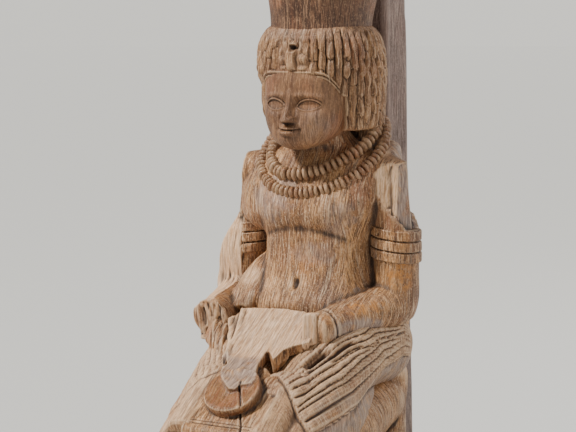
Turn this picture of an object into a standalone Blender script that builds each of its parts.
"""Kneeling pharaoh statuette, carved with its plinth, back pillar and headdress in one block of wood.

The figure kneels on raised heels and faces -Y. Its left side is at +X. Sizes are in metres.
"""

import math

import bmesh
import bpy
from mathutils import Matrix, Vector, noise

# Driving sizes
figureHeight = 0.206  # from the plinth's top to the crown of the wig
plinthLength = 0.158
plinthWidth = 0.094
plinthHeight = 0.010
plinthEdge = 0.0012
figureSetback = 0.028  # from the plinth's centre back to the figure's own axis
pillarFront = 0.023  # from the figure's axis back to the pillar's front
pillarDepthTop = 0.020
pillarDepthFoot = 0.024
pillarWidthTop = 0.041
pillarWidthFoot = 0.050
pillarRise = 0.001  # how far the pillar stands above the headdress
headdressHeight = 0.027
headdressFootRadius = 0.0225
headdressTopRadius = 0.0285
headdressLean = math.radians(6.0)

# The figure is drawn on a grid of its own: it is this many units tall
unitsTall = 206.0
unit = figureHeight / unitsTall

wood = None


def clearScene():
    for thing in list(bpy.data.objects):
        bpy.data.objects.remove(thing)


def makeWood():
    material = bpy.data.materials.new("carved_wood")
    material.use_nodes = True
    shader = material.node_tree.nodes["Principled BSDF"]
    shader.inputs["Base Color"].default_value = (0.30, 0.19, 0.115, 1.0)
    shader.inputs["Roughness"].default_value = 0.62
    shader.inputs["Metallic"].default_value = 0.0
    return material


def place(x, y, z):
    """A point of the figure's grid, in the part's frame."""
    return Vector((x * unit, y * unit + figureSetback, z * unit + plinthHeight))


def clamp(value, low=0.0, high=1.0):
    return max(low, min(high, value))


def smooth(start, end, value):
    t = clamp((value - start) / (end - start))
    return t * t * (3 - 2 * t)


def bump(value, centre, width):
    return math.exp(-(((value - centre) / width) ** 2))


def along(stations, share):
    """The station at a share of the way through the list, on a smooth curve through all of them."""
    last = len(stations) - 1
    spot = clamp(share) * last
    i = min(int(spot), last - 1)
    t = spot - i
    before, here, there, after = (
        stations[max(i - 1, 0)],
        stations[i],
        stations[i + 1],
        stations[min(i + 2, last)],
    )
    return [
        0.5 * (2 * b + (c - a) * t + (2 * a - 5 * b + 4 * c - d) * t * t + (3 * b - a - 3 * c + d) * t ** 3)
        for a, b, c, d in zip(before, here, there, after)
    ]


def addObject(name, mesh):
    mesh.materials.append(wood)
    shape = bpy.data.objects.new(name, mesh)
    bpy.context.scene.collection.objects.link(shape)
    return shape


def finishForm(name, form):
    bmesh.ops.recalc_face_normals(form, faces=form.faces)
    if form.calc_volume(signed=True) < 0:
        bmesh.ops.reverse_faces(form, faces=form.faces)
    mesh = bpy.data.meshes.new(name)
    form.to_mesh(mesh)
    form.free()
    return addObject(name, mesh)


def wrap(name, around, rows, surface, crowd=0.0):
    """A closed form: a sphere's rings and poles laid over a surface of the figure's grid.

    surface(theta, share) gives a point. theta is 0 at the front and grows towards +X, and share runs from top to
    bottom. crowd draws the columns together towards the front.
    """
    form = bmesh.new()
    bmesh.ops.create_uvsphere(form, u_segments=around, v_segments=rows, radius=1.0)
    for corner in form.verts:
        share = math.acos(clamp(corner.co.z, -1.0, 1.0)) / math.pi
        if 0.001 < share < 0.999:
            turn = math.atan2(corner.co.x, -corner.co.y)
            corner.co = place(*surface(turn - crowd * math.sin(turn), share))
        else:
            ends = [place(*surface(math.radians(turn), share)) for turn in range(0, 360, 30)]
            corner.co = sum(ends, Vector()) / len(ends)
    return finishForm(name, form)


def upright(stations, power=2.0, relief=None):
    """A surface of level rings. A station is (z, halfWidth, halfDepth, centreY)."""

    def surface(theta, share):
        z, halfWidth, halfDepth, centreY = along(stations, share)
        side, front = math.sin(theta), math.cos(theta)
        side = math.copysign(abs(side) ** (2 / power), side)
        front = math.copysign(abs(front) ** (2 / power), front)
        x, y = halfWidth * side, centreY - halfDepth * front
        if relief:
            x, y, z = relief(x, y, z, theta)
        return x, y, z

    return surface


def limb(stations, lookUp=(0, 0, 1), relief=None):
    """A surface swept along a line of stations (x, y, z, halfAcross, halfUp). theta 0 is its under side."""
    lookUp = Vector(lookUp)

    def surface(theta, share):
        x, y, z, halfAcross, halfUp = along(stations, share)
        step = 0.5 / (len(stations) - 1)
        ahead = Vector(along(stations, share + step)[:3])
        behind = Vector(along(stations, share - step)[:3])
        run = (ahead - behind).normalized()
        up = (lookUp - run * lookUp.dot(run)).normalized()
        across = run.cross(up)
        swell = relief(theta, share) if relief else 0.0
        point = Vector((x, y, z))
        point += across * math.sin(theta) * (halfAcross + swell)
        point -= up * math.cos(theta) * (halfUp + swell)
        return tuple(point)

    return surface


# The torso, from the hips up to the neck
torsoRings = [
    (166, 12.0, 12.0, -2.0),
    (158, 12.5, 12.5, 0.0),
    (152, 18.0, 12.5, 4.0),
    (147, 28.0, 15.0, 4.0),
    (140, 32.0, 18.0, 2.0),
    (132, 32.0, 20.0, 0.0),
    (124, 29.0, 20.5, -1.5),
    (116, 26.5, 19.0, -1.0),
    (109, 25.0, 18.5, -1.0),
    (102, 25.5, 19.5, -1.0),
    (93, 27.0, 21.5, -2.0),
    (84, 29.5, 24.5, -4.0),
    (76, 30.0, 25.0, -4.0),
    (68, 28.0, 22.0, -2.0),
]


def makeTorso():
    def relief(x, y, z, theta):
        front = max(0.0, math.cos(theta))
        breast = 1.1 * bump(z, 122, 7) * bump(abs(x), 13, 9)
        line = -0.8 * bump(z, 114.5, 2.5) * bump(x, 0, 22)
        return x, y - front * (breast + line), z

    return wrap("torso", 22, 15, upright(torsoRings, 2.3, relief))


# The shoulders, from side to side: x, y, z, half depth and half height
shoulderLine = [
    (-42.5, 4, 137.5, 4, 4),
    (-41.0, 4, 138.0, 9.5, 8.5),
    (-34.0, 4, 139.0, 11.0, 9.2),
    (-22.0, 5, 141.0, 13.0, 9.0),
    (-11.0, 5, 145.0, 13.5, 9.5),
    (0.0, 5, 146.0, 13.5, 10.0),
    (11.0, 5, 145.0, 13.5, 9.5),
    (22.0, 5, 141.0, 13.0, 9.0),
    (33.0, 5, 138.5, 11.0, 9.2),
    (39.5, 5, 136.5, 9.0, 8.0),
    (41.0, 5, 136.0, 4, 4),
]


def makeShoulders():
    return wrap("shoulders", 12, 16, limb(shoulderLine))


# The wood left between the figure's back, its arms and the pillar
backRings = [
    (200, 16.0, 8.0, 20.0),
    (160, 16.0, 9.0, 19.0),
    (146, 26.0, 9.0, 17.0),
    (120, 33.0, 9.5, 16.0),
    (92, 38.0, 9.5, 16.0),
    (66, 34.0, 9.5, 17.0),
    (40, 24.0, 8.0, 20.0),
    (2, 22.0, 8.0, 20.0),
]


def makeBackWeb():
    return wrap("back_web", 16, 10, upright(backRings, 3.0))


# The head: chin, cheeks and brow, with the wig over all the rest
headRings = [
    (192, 14.0, 13.0, -6.0),
    (189, 19.0, 18.5, -7.0),
    (183, 21.0, 20.5, -7.5),
    (177, 21.0, 20.5, -8.0),
    (172, 20.5, 19.5, -8.5),
    (166, 19.5, 18.0, -10.5),
    (161, 17.5, 16.0, -13.0),
    (157, 14.5, 13.5, -15.5),
    (153.5, 10.0, 9.5, -18.5),
    (151.5, 4.5, 4.5, -20.5),
]
faceTop = 183.0
chin = 152.0
faceHeight = faceTop - chin
browLine = faceTop - faceHeight / 3.4
eyeLine = faceTop - faceHeight * 0.40
noseFoot = faceTop - faceHeight * 0.68
mouthLine = faceTop - faceHeight * 0.80
eyeSpread = 8.6


def faceRelief(x, z):
    """How far the calm, even face stands out at a point of the front of the head."""
    side = abs(x)
    eye = 1.0 - ((side - eyeSpread) / 5.6) ** 2 - ((z - eyeLine) / 2.3) ** 2
    socket = -1.5 * bump(side, eyeSpread - 0.6, 5.2) * bump(z, eyeLine + 0.4, 3.4)
    ball = 1.1 * math.sqrt(max(0.0, eye))
    brow = 0.7 * bump(side, 8.5, 7.0) * bump(z, browLine + 0.6 - 0.02 * side * side, 1.4)
    drop = clamp((browLine - z) / (browLine - noseFoot))
    ridge = (0.8 + 4.4 * drop ** 1.5) * bump(x, 0, 1.5 + 1.5 * drop)
    nose = ridge * smooth(noseFoot - 1.6, noseFoot + 0.4, z) * smooth(browLine + 4, browLine - 1, z)
    wings = 1.8 * bump(side, 2.9, 1.4) * bump(z, noseFoot + 1.1, 1.5)
    lips = 1.5 * bump(x, 0, 4.6) * (bump(z, mouthLine + 1.1, 1.0) + bump(z, mouthLine - 1.3, 1.1))
    parting = -0.5 * bump(x, 0, 5.0) * bump(z, mouthLine, 0.5)
    point = 1.3 * bump(x, 0, 5.0) * bump(z, chin + 2.6, 2.2)
    return socket + ball + brow + nose + wings + lips + parting + point


def makeHead():
    def relief(x, y, z, theta):
        front = smooth(0.1, 0.6, math.cos(theta))
        return x, y - front * faceRelief(x, z), z

    return wrap("head", 28, 24, upright(headRings, 2.25, relief), 0.72)


# The round wig of short curls
wigRings = [
    (206, 19.0, 18.0, 0.0),
    (204.5, 23.5, 22.0, 0.0),
    (199, 27.0, 25.4, 0.0),
    (190, 28.6, 26.8, 0.0),
    (180, 29.0, 27.0, 0.0),
    (171, 28.8, 26.8, 0.0),
    (163, 28.2, 26.0, 0.0),
    (159, 26.6, 24.0, 0.0),
    (158, 20.0, 18.0, 0.0),
]
lockCount = 36
lockDepth = 0.9
curlRows = 5
curlStep = 0.8
openingHalfAngle = math.radians(49)
wigEdgeThinning = 0.07


def openingAt(theta, z):
    """1 on the wig and 0 in its opening for the face, with a narrow edge between."""
    side = abs(theta)
    top = faceTop - 9.0 * smooth(math.radians(18), openingHalfAngle, side) ** 2
    across = smooth(openingHalfAngle - 0.05, openingHalfAngle + 0.03, side)
    above = smooth(top - 1.2, top + 0.6, z)
    return max(across, above)


def makeWig():
    bottom, top = wigRings[-2][0], wigRings[1][0]

    def relief(x, y, z, theta):
        column = theta / (2 * math.pi) * lockCount
        groove = -lockDepth * abs(math.cos(math.pi * column)) ** 3
        down = (top - z) / (top - bottom) * curlRows
        stagger = 0.5 * (math.floor(column + 0.01) % 2)
        step = curlStep * ((down + stagger) % 1.0) * smooth(0.4, 1.2, down)
        reach = Vector((x, y, 0)).length
        inside = 0.62 * reach
        wanted = reach + (groove + step) * smooth(top + 1, top - 3, z)
        thin = smooth(openingHalfAngle + 0.45, openingHalfAngle, abs(theta)) * smooth(faceTop + 4, faceTop - 4, z)
        wanted *= 1 - wigEdgeThinning * thin
        share = openingAt(theta, z)
        scale = (inside + (wanted - inside) * share) / reach
        return x * scale, y * scale, z

    return wrap("wig", lockCount * 2, 12, upright(wigRings, 2.05, relief))


def makeUraeus():
    rings = [
        (0, -24.5, 199.5, 2.4, 1.6),
        (0, -27.0, 196.5, 2.4, 1.9),
        (0, -28.0, 191.0, 1.9, 1.7),
        (0, -28.0, 184.0, 1.6, 1.5),
    ]
    return wrap("uraeus", 10, 7, limb(rings, (0, -1, 0)))


def makeHeadband():
    def surface(theta, share):
        sweep = (share - 0.5) * 2 * math.radians(30)
        x = 27.2 * math.sin(sweep)
        y = -26.8 * math.cos(sweep)
        z = faceTop + 0.6 - 3.0 * smooth(math.radians(18), math.radians(34), abs(sweep))
        out = Vector((math.sin(sweep), -math.cos(sweep), 0))
        point = Vector((x, y, z)) + out * 1.6 * math.cos(theta) + Vector((0, 0, 1.3 * math.sin(theta)))
        return tuple(point)

    return wrap("headband", 6, 14, surface)


headdressRings = 4


def makeHeaddress():
    """A round block that flares upward and leans back a little, sunk into the wig's crown."""
    sunk = 0.004
    foot = plinthHeight + figureHeight - sunk
    rise = headdressHeight + sunk
    form = bmesh.new()
    bmesh.ops.create_cone(form, cap_ends=True, segments=36, radius1=1.0, radius2=1.0, depth=rise)
    bmesh.ops.translate(form, vec=(0, 0, foot + rise / 2), verts=form.verts)
    for ring in range(1, headdressRings):
        level = foot + rise * ring / headdressRings
        everything = form.verts[:] + form.edges[:] + form.faces[:]
        bmesh.ops.bisect_plane(form, geom=everything, plane_co=(0, 0, level), plane_no=(0, 0, 1))
    for corner in form.verts:
        share = (corner.co.z - foot) / rise
        radius = headdressFootRadius + (headdressTopRadius - headdressFootRadius) * share ** 1.4
        back = math.tan(headdressLean) * rise * share
        corner.co.x *= radius
        corner.co.y = corner.co.y * radius + figureSetback + back
    return finishForm("headdress", form)


def makePillar():
    top = plinthHeight + figureHeight + headdressHeight + pillarRise
    foot = plinthHeight - 0.004
    form = bmesh.new()
    bmesh.ops.create_cube(form, size=1.0)
    for corner in form.verts:
        high = corner.co.z > 0
        width = pillarWidthTop if high else pillarWidthFoot
        depth = pillarDepthTop if high else pillarDepthFoot
        y = figureSetback + pillarFront + (depth if corner.co.y > 0 else 0.0)
        corner.co = Vector((math.copysign(width / 2, corner.co.x), y, top if high else foot))
    bmesh.ops.bevel(form, geom=form.edges[:], offset=0.0012, segments=2, affect="EDGES", profile=0.5, material=-1)
    return finishForm("pillar", form)


def makePlinth():
    form = bmesh.new()
    bmesh.ops.create_cube(form, size=1.0)
    bmesh.ops.scale(form, vec=(plinthWidth, plinthLength, plinthHeight), verts=form.verts)
    bmesh.ops.translate(form, vec=(0, 0, plinthHeight / 2), verts=form.verts)
    bmesh.ops.bevel(form, geom=form.edges[:], offset=plinthEdge, segments=2, affect="EDGES", profile=0.5, material=-1)
    return finishForm("plinth", form)


# Two strings of disc beads round the neck: half width, half depth, drop, height, thickness and beads
strings = {
    "outer": (28.5, 22.5, 18.0, 150.0, 2.2, 32),
    "inner": (22.5, 20.0, 13.0, 152.5, 2.5, 26),
}


def makeString(name):
    halfWidth, halfDepth, drop, height, thick, beads = strings[name]
    form = bmesh.new()
    ringSides = 5
    rings = beads * 2
    loops = []
    for i in range(rings):
        turn = 2 * math.pi * i / rings
        centre = Vector((halfWidth * math.sin(turn), 2 - halfDepth * math.cos(turn), height - drop * math.cos(turn)))
        ahead = Vector((halfWidth * math.cos(turn), halfDepth * math.sin(turn), drop * math.sin(turn))).normalized()
        out = Vector((math.sin(turn), -math.cos(turn), 0.35))
        out = (out - ahead * out.dot(ahead)).normalized()
        other = ahead.cross(out)
        reach = thick if i % 2 else thick * 0.72
        loops.append(
            [
                form.verts.new(
                    place(*(centre + (out * math.cos(a) + other * math.sin(a)) * reach))
                )
                for a in (2 * math.pi * k / ringSides for k in range(ringSides))
            ]
        )
    for here, there in zip(loops, loops[1:] + loops[:1]):
        for k in range(ringSides):
            form.faces.new((here[k], here[(k + 1) % ringSides], there[(k + 1) % ringSides], there[k]))
    return finishForm("string_" + name, form)


# The arms. The right upper arm stands out at the elbow; both hands are lost.
leftUpperArm = [
    (32, 4, 144, 3.0, 3.0),
    (32.5, 4, 142, 8.5, 8.5),
    (33.0, 4, 138, 10.2, 10.6),
    (34.5, 5, 128, 10.4, 10.4),
    (34.8, 6, 112, 10.2, 10.6),
    (35.0, 6, 96, 10.0, 10.8),
    (35.0, 6, 84, 10.0, 11.0),
    (35.0, 5, 76, 7.5, 8.5),
    (35.0, 5, 73.5, 2.0, 2.0),
]
rightUpperArm = [
    (-33, 4, 144, 3.0, 3.0),
    (-33.5, 4, 142, 8.2, 8.5),
    (-33.8, 4, 138, 9.4, 10.4),
    (-34.0, 4, 128, 9.8, 10.6),
    (-37.5, 4, 112, 10.6, 10.8),
    (-41.0, 3, 96, 11.6, 11.4),
    (-43.0, 2, 84, 12.0, 12.0),
    (-43.0, 1, 76, 8.5, 9.0),
    (-43.0, 1, 73, 2.0, 2.0),
]
leftForearm = [
    (37.5, 13, 83, 3.0, 3.0),
    (36.5, 8, 83, 9.0, 9.0),
    (32.5, -3, 81.5, 9.6, 9.8),
    (27.5, -15, 79.5, 9.0, 9.0),
    (22.5, -28, 77.0, 8.2, 8.2),
    (19.8, -36, 75.5, 8.0, 8.0),
    (18.6, -40, 74.8, 7.6, 7.8),
    (18.4, -40.6, 74.7, 4.0, 4.0),
]
rightForearm = [
    (-44.0, 10, 82, 3.0, 3.0),
    (-43.8, 5, 82, 9.5, 9.5),
    (-42.0, -8, 80.5, 11.0, 10.5),
    (-39.0, -20, 78.5, 10.6, 10.2),
    (-36.5, -31, 76.5, 10.4, 10.0),
    (-35.0, -38, 74.0, 10.4, 10.6),
    (-34.0, -41, 71.0, 8.6, 9.0),
    (-33.8, -41.8, 70.0, 3.0, 3.0),
]
armletTop = 0.44
armletBands = 3
armletBandShare = 0.052


def armletRelief(theta, share):
    """Three flat bands round the upper arm, with a narrow groove between each two."""
    band = (share - armletTop) / armletBandShare
    if not 0 <= band <= armletBands:
        return 0.0
    return 1.1 - 0.8 * smooth(0.3, 0.5, abs(band % 1.0 - 0.5))


# Thighs, from the buttocks down to the knees, then shins and feet: x, y, z and radius
thighLine = [
    (19.5, 27, 54, 5.0),
    (19.5, 24, 56, 13.0),
    (19.5, 16, 60, 19.0),
    (19.5, 4, 64, 20.5),
    (19.5, -14, 62.5, 19.5),
    (19.8, -30, 55.5, 18.8),
    (20.4, -46, 44.5, 18.3),
    (21.0, -62, 32.5, 17.8),
    (21.8, -76, 22.5, 17.0),
    (22.0, -86, 17.0, 13.5),
    (22.0, -90, 15.0, 9.0),
    (22.0, -92, 14.0, 3.0),
]
kiltThickness = 0.9
kiltEnd = 0.68


def makeThigh(mirror):
    name = "thigh_left" if mirror > 0 else "thigh_right"
    stations = [(mirror * x, y, z, radius, radius) for x, y, z, radius in thighLine]

    def relief(theta, share):
        return kiltThickness * smooth(kiltEnd + 0.02, kiltEnd - 0.01, share)

    return wrap(name, 16, 12, limb(stations, (0, 0, 1), relief))


def makeShin(mirror):
    stations = [
        (mirror * 22, -92, 12, 4, 4),
        (mirror * 22, -88, 14, 12, 12),
        (mirror * 22, -76, 17, 15, 15),
        (mirror * 23, -52, 22, 16, 15),
        (mirror * 24, -24, 28, 15, 14),
        (mirror * 25, 0, 34, 12, 12),
        (mirror * 25.5, 14, 38, 10.5, 11),
        (mirror * 26, 20, 40, 4, 4),
    ]
    name = "shin_left" if mirror > 0 else "shin_right"
    return wrap(name, 12, 7, limb(stations))


def makeFoot(mirror):
    stations = [
        (mirror * 26.0, 16, 53, 3, 3),
        (mirror * 26.0, 17, 51, 7.5, 8),
        (mirror * 26.0, 17.5, 44, 8.4, 10.0),
        (mirror * 26.0, 17, 32, 7.8, 8.6),
        (mirror * 26.5, 16, 20, 8.4, 7.6),
        (mirror * 27.0, 14, 9, 9.6, 8.2),
        (mirror * 27.0, 12, 2, 10.0, 9.4),
        (mirror * 27.0, 11, -2, 9.4, 9.0),
    ]
    name = "foot_left" if mirror > 0 else "foot_right"
    return wrap(name, 12, 9, limb(stations, (0, 1, 0)))


def makeToes(mirror):
    stations = [
        (mirror * 27, 12, 3.0, 9.0, 4.0),
        (mirror * 27, 4, 2.6, 10.0, 4.2),
        (mirror * 27, -4, 2.0, 10.2, 4.0),
        (mirror * 27, -9, 1.6, 9.0, 3.4),
        (mirror * 27, -10.5, 1.4, 3.0, 1.5),
    ]
    name = "toes_left" if mirror > 0 else "toes_right"
    return wrap(name, 10, 6, limb(stations))


def makeLapFill():
    """The kilt's cloth between the thighs, and the wood left standing under the lap."""
    stations = [(0, y, z - 3, 0.9 * radius + 5, 0.9 * radius) for x, y, z, radius in thighLine[1:9]]
    return wrap("lap_fill", 16, 10, limb(stations))


underFillHalf = 26.0


def makeUnderFill():
    """Wood left uncut between the shins and under the seat."""
    form = bmesh.new()
    bmesh.ops.create_cube(form, size=1.0)
    for corner in form.verts:
        back = corner.co.y > 0
        high = corner.co.z > 0
        y = 25 if back else -72
        z = (60 if back else 22) if high else -2
        corner.co = place(math.copysign(underFillHalf, corner.co.x), y, z)
    return finishForm("under_fill", form)


# The stiff front panel of the kilt, its plane, and the foot of the lost offering on it
panelBack = -58.0
panelFront = -91.0
panelFrontHeight = 40.5
panelSlope = 0.66
panelHalfBack = 15.5
panelHalfFront = 16.5
panelThickness = 3.5
panelBackDepth = 4.5
panelEdge = 0.8


def panelHeight(y):
    return panelFrontHeight + panelSlope * (y - panelFront)


def makePanel():
    form = bmesh.new()
    bmesh.ops.create_cube(form, size=1.0)
    for corner in form.verts:
        back = corner.co.y > 0
        y = panelBack if back else panelFront
        z = panelHeight(y)
        if corner.co.z < 0:
            y += panelThickness * 0.6
            z -= panelThickness * (panelBackDepth if back else 1.0)
        half = panelHalfBack if back else panelHalfFront
        corner.co = place(math.copysign(half, corner.co.x), y, z)
    bmesh.ops.bevel(
        form, geom=form.edges[:], offset=panelEdge * unit, segments=1, affect="EDGES", profile=0.5, material=-1
    )
    return finishForm("front_panel", form)


# The wood under the projecting panel, down between the knees: y, z and half width
panelFoot = [(-30, 44, 15), (-50, 36, 15), (-66, 28, 14), (-77, 20, 11), (-82, 16, 7), (-84, 15, 3)]


def makePanelUnder():
    stations = [(0, y, z, half, half + 5) for y, z, half in panelFoot]
    return wrap("panel_under", 14, 8, limb(stations))


offeringFootRadius = 12.4
offeringFootThickness = 3.2
offeringFootY = -73.0


def makeOfferingFoot():
    form = bmesh.new()
    radius = offeringFootRadius * unit
    depth = 2 * offeringFootThickness * unit
    bmesh.ops.create_cone(form, cap_ends=True, segments=28, radius1=radius, radius2=radius, depth=depth)
    tilt = Matrix.Rotation(math.atan(panelSlope), 4, "X")
    centre = place(0, offeringFootY, panelHeight(offeringFootY))
    bmesh.ops.transform(form, matrix=Matrix.Translation(centre) @ tilt, verts=form.verts)
    return finishForm("offering_foot", form)


def ragged(point, size, reach):
    """A push in a fixed, uneven direction, for broken wood."""
    return noise.noise_vector(Vector(point) / size) * reach


# What is left of the offering between the lost hands, torn off along its front
offeringLine = [
    (0, -18, 76, 12, 5),
    (-1, -25, 76.5, 19, 8),
    (-2, -34, 72.5, 20.5, 8.5),
    (-3, -42, 66.0, 20, 8),
    (-3.5, -50, 63, 15.5, 7),
    (-2.5, -57, 60.5, 11, 6),
    (-1.5, -64, 58.5, 7.5, 4.5),
    (-1, -70, 55, 2.5, 2.5),
]
# A torn ridge from the right wrist down to it
ridgeLine = [
    (-34, -30, 70, 5, 6),
    (-29, -38, 68, 7, 6.5),
    (-23, -44, 62, 6.5, 6.5),
    (-17, -51, 55, 5.5, 6),
    (-12, -57, 50, 3, 3),
]
splinterSize = 6.0
splinterReach = 2.0


def makeTorn(name, line, around, rows):
    base = limb(line)

    def surface(theta, share):
        point = Vector(base(theta, share))
        point += ragged(point, splinterSize, splinterReach) * smooth(0.2, 0.5, share)
        return tuple(point)

    return wrap(name, around, rows, surface)


# Pleats sweep down from the hip over each thigh to the kilt's hem across the knee
pleatCount = 6
pleatRadius = 1.5
pleatHipRadius = 0.9
hemLift = 0.5
thighOval = 1.2


def onThigh(y, turn, lift):
    """A point over the left thigh at a given y: turn is 0 on its outer side and 90 degrees on top."""
    for (ax, ay, az, ar), (bx, by, bz, br) in zip(thighLine, thighLine[1:]):
        if by <= y <= ay:
            t = (ay - y) / (ay - by)
            radius = ar + (br - ar) * t + lift
            x = ax + (bx - ax) * t + radius * math.cos(turn)
            return x, y, az + (bz - az) * t + radius * thighOval * math.sin(turn)
    return thighLine[-1][:3]


def makePleat(mirror, index):
    share = index / (pleatCount - 1)
    startY, endY = 8 - 16 * share, -76 + 15 * share
    startTurn, endTurn = -6 + 64 * share, 38 + 58 * share
    stations = []
    for i in range(7):
        t = i / 6
        y = startY + (endY - startY) * t
        turn = math.radians(startTurn + (endTurn - startTurn) * t ** 1.2)
        x, y, z = onThigh(y, turn, hemLift)
        radius = pleatHipRadius + (pleatRadius - pleatHipRadius) * t
        stations.append((mirror * x, y, z, radius, radius))
    side = "left" if mirror > 0 else "right"
    return wrap(f"pleat_{side}_{index}", 5, 6, limb(stations))


def unite(name, shapes):
    """One solid from overlapping shapes, which stay as hidden guides."""
    body = shapes[0]
    body.name = name
    guides = bpy.data.collections.new("joined_into_" + name)
    bpy.context.scene.collection.children.link(guides)
    for shape in shapes[1:]:
        bpy.context.scene.collection.objects.unlink(shape)
        guides.objects.link(shape)
        shape.hide_render = True
        shape.display_type = "WIRE"
    join = body.modifiers.new("join", "BOOLEAN")
    join.operation = "UNION"
    join.solver = "EXACT"
    join.operand_type = "COLLECTION"
    join.collection = guides
    return body


def main():
    global wood
    clearScene()
    wood = makeWood()
    shapes = [makePlinth(), makePillar(), makeTorso(), makeShoulders(), makeBackWeb(), makeHead(), makeWig(), makeUraeus(), makeHeadband()]
    shapes += [makeHeaddress(), makeString("outer"), makeString("inner")]
    for name, stations, relief in (
        ("left_upper_arm", leftUpperArm, armletRelief),
        ("right_upper_arm", rightUpperArm, armletRelief),
        ("left_forearm", leftForearm, None),
        ("right_forearm", rightForearm, None),
    ):
        lookUp = (0, 1, 0) if relief else (0, 0, 1)
        rows = 20 if relief else 9
        shapes.append(wrap(name, 12, rows, limb(stations, lookUp, relief)))
    for mirror in (1, -1):
        shapes += [makeThigh(mirror), makeShin(mirror), makeFoot(mirror), makeToes(mirror)]
        shapes += [makePleat(mirror, index) for index in range(pleatCount)]
    shapes += [makeLapFill(), makeUnderFill(), makePanel(), makePanelUnder(), makeOfferingFoot()]
    shapes += [makeTorn("offering", offeringLine, 16, 12), makeTorn("torn_ridge", ridgeLine, 10, 8)]
    unite("statue", shapes)


main()
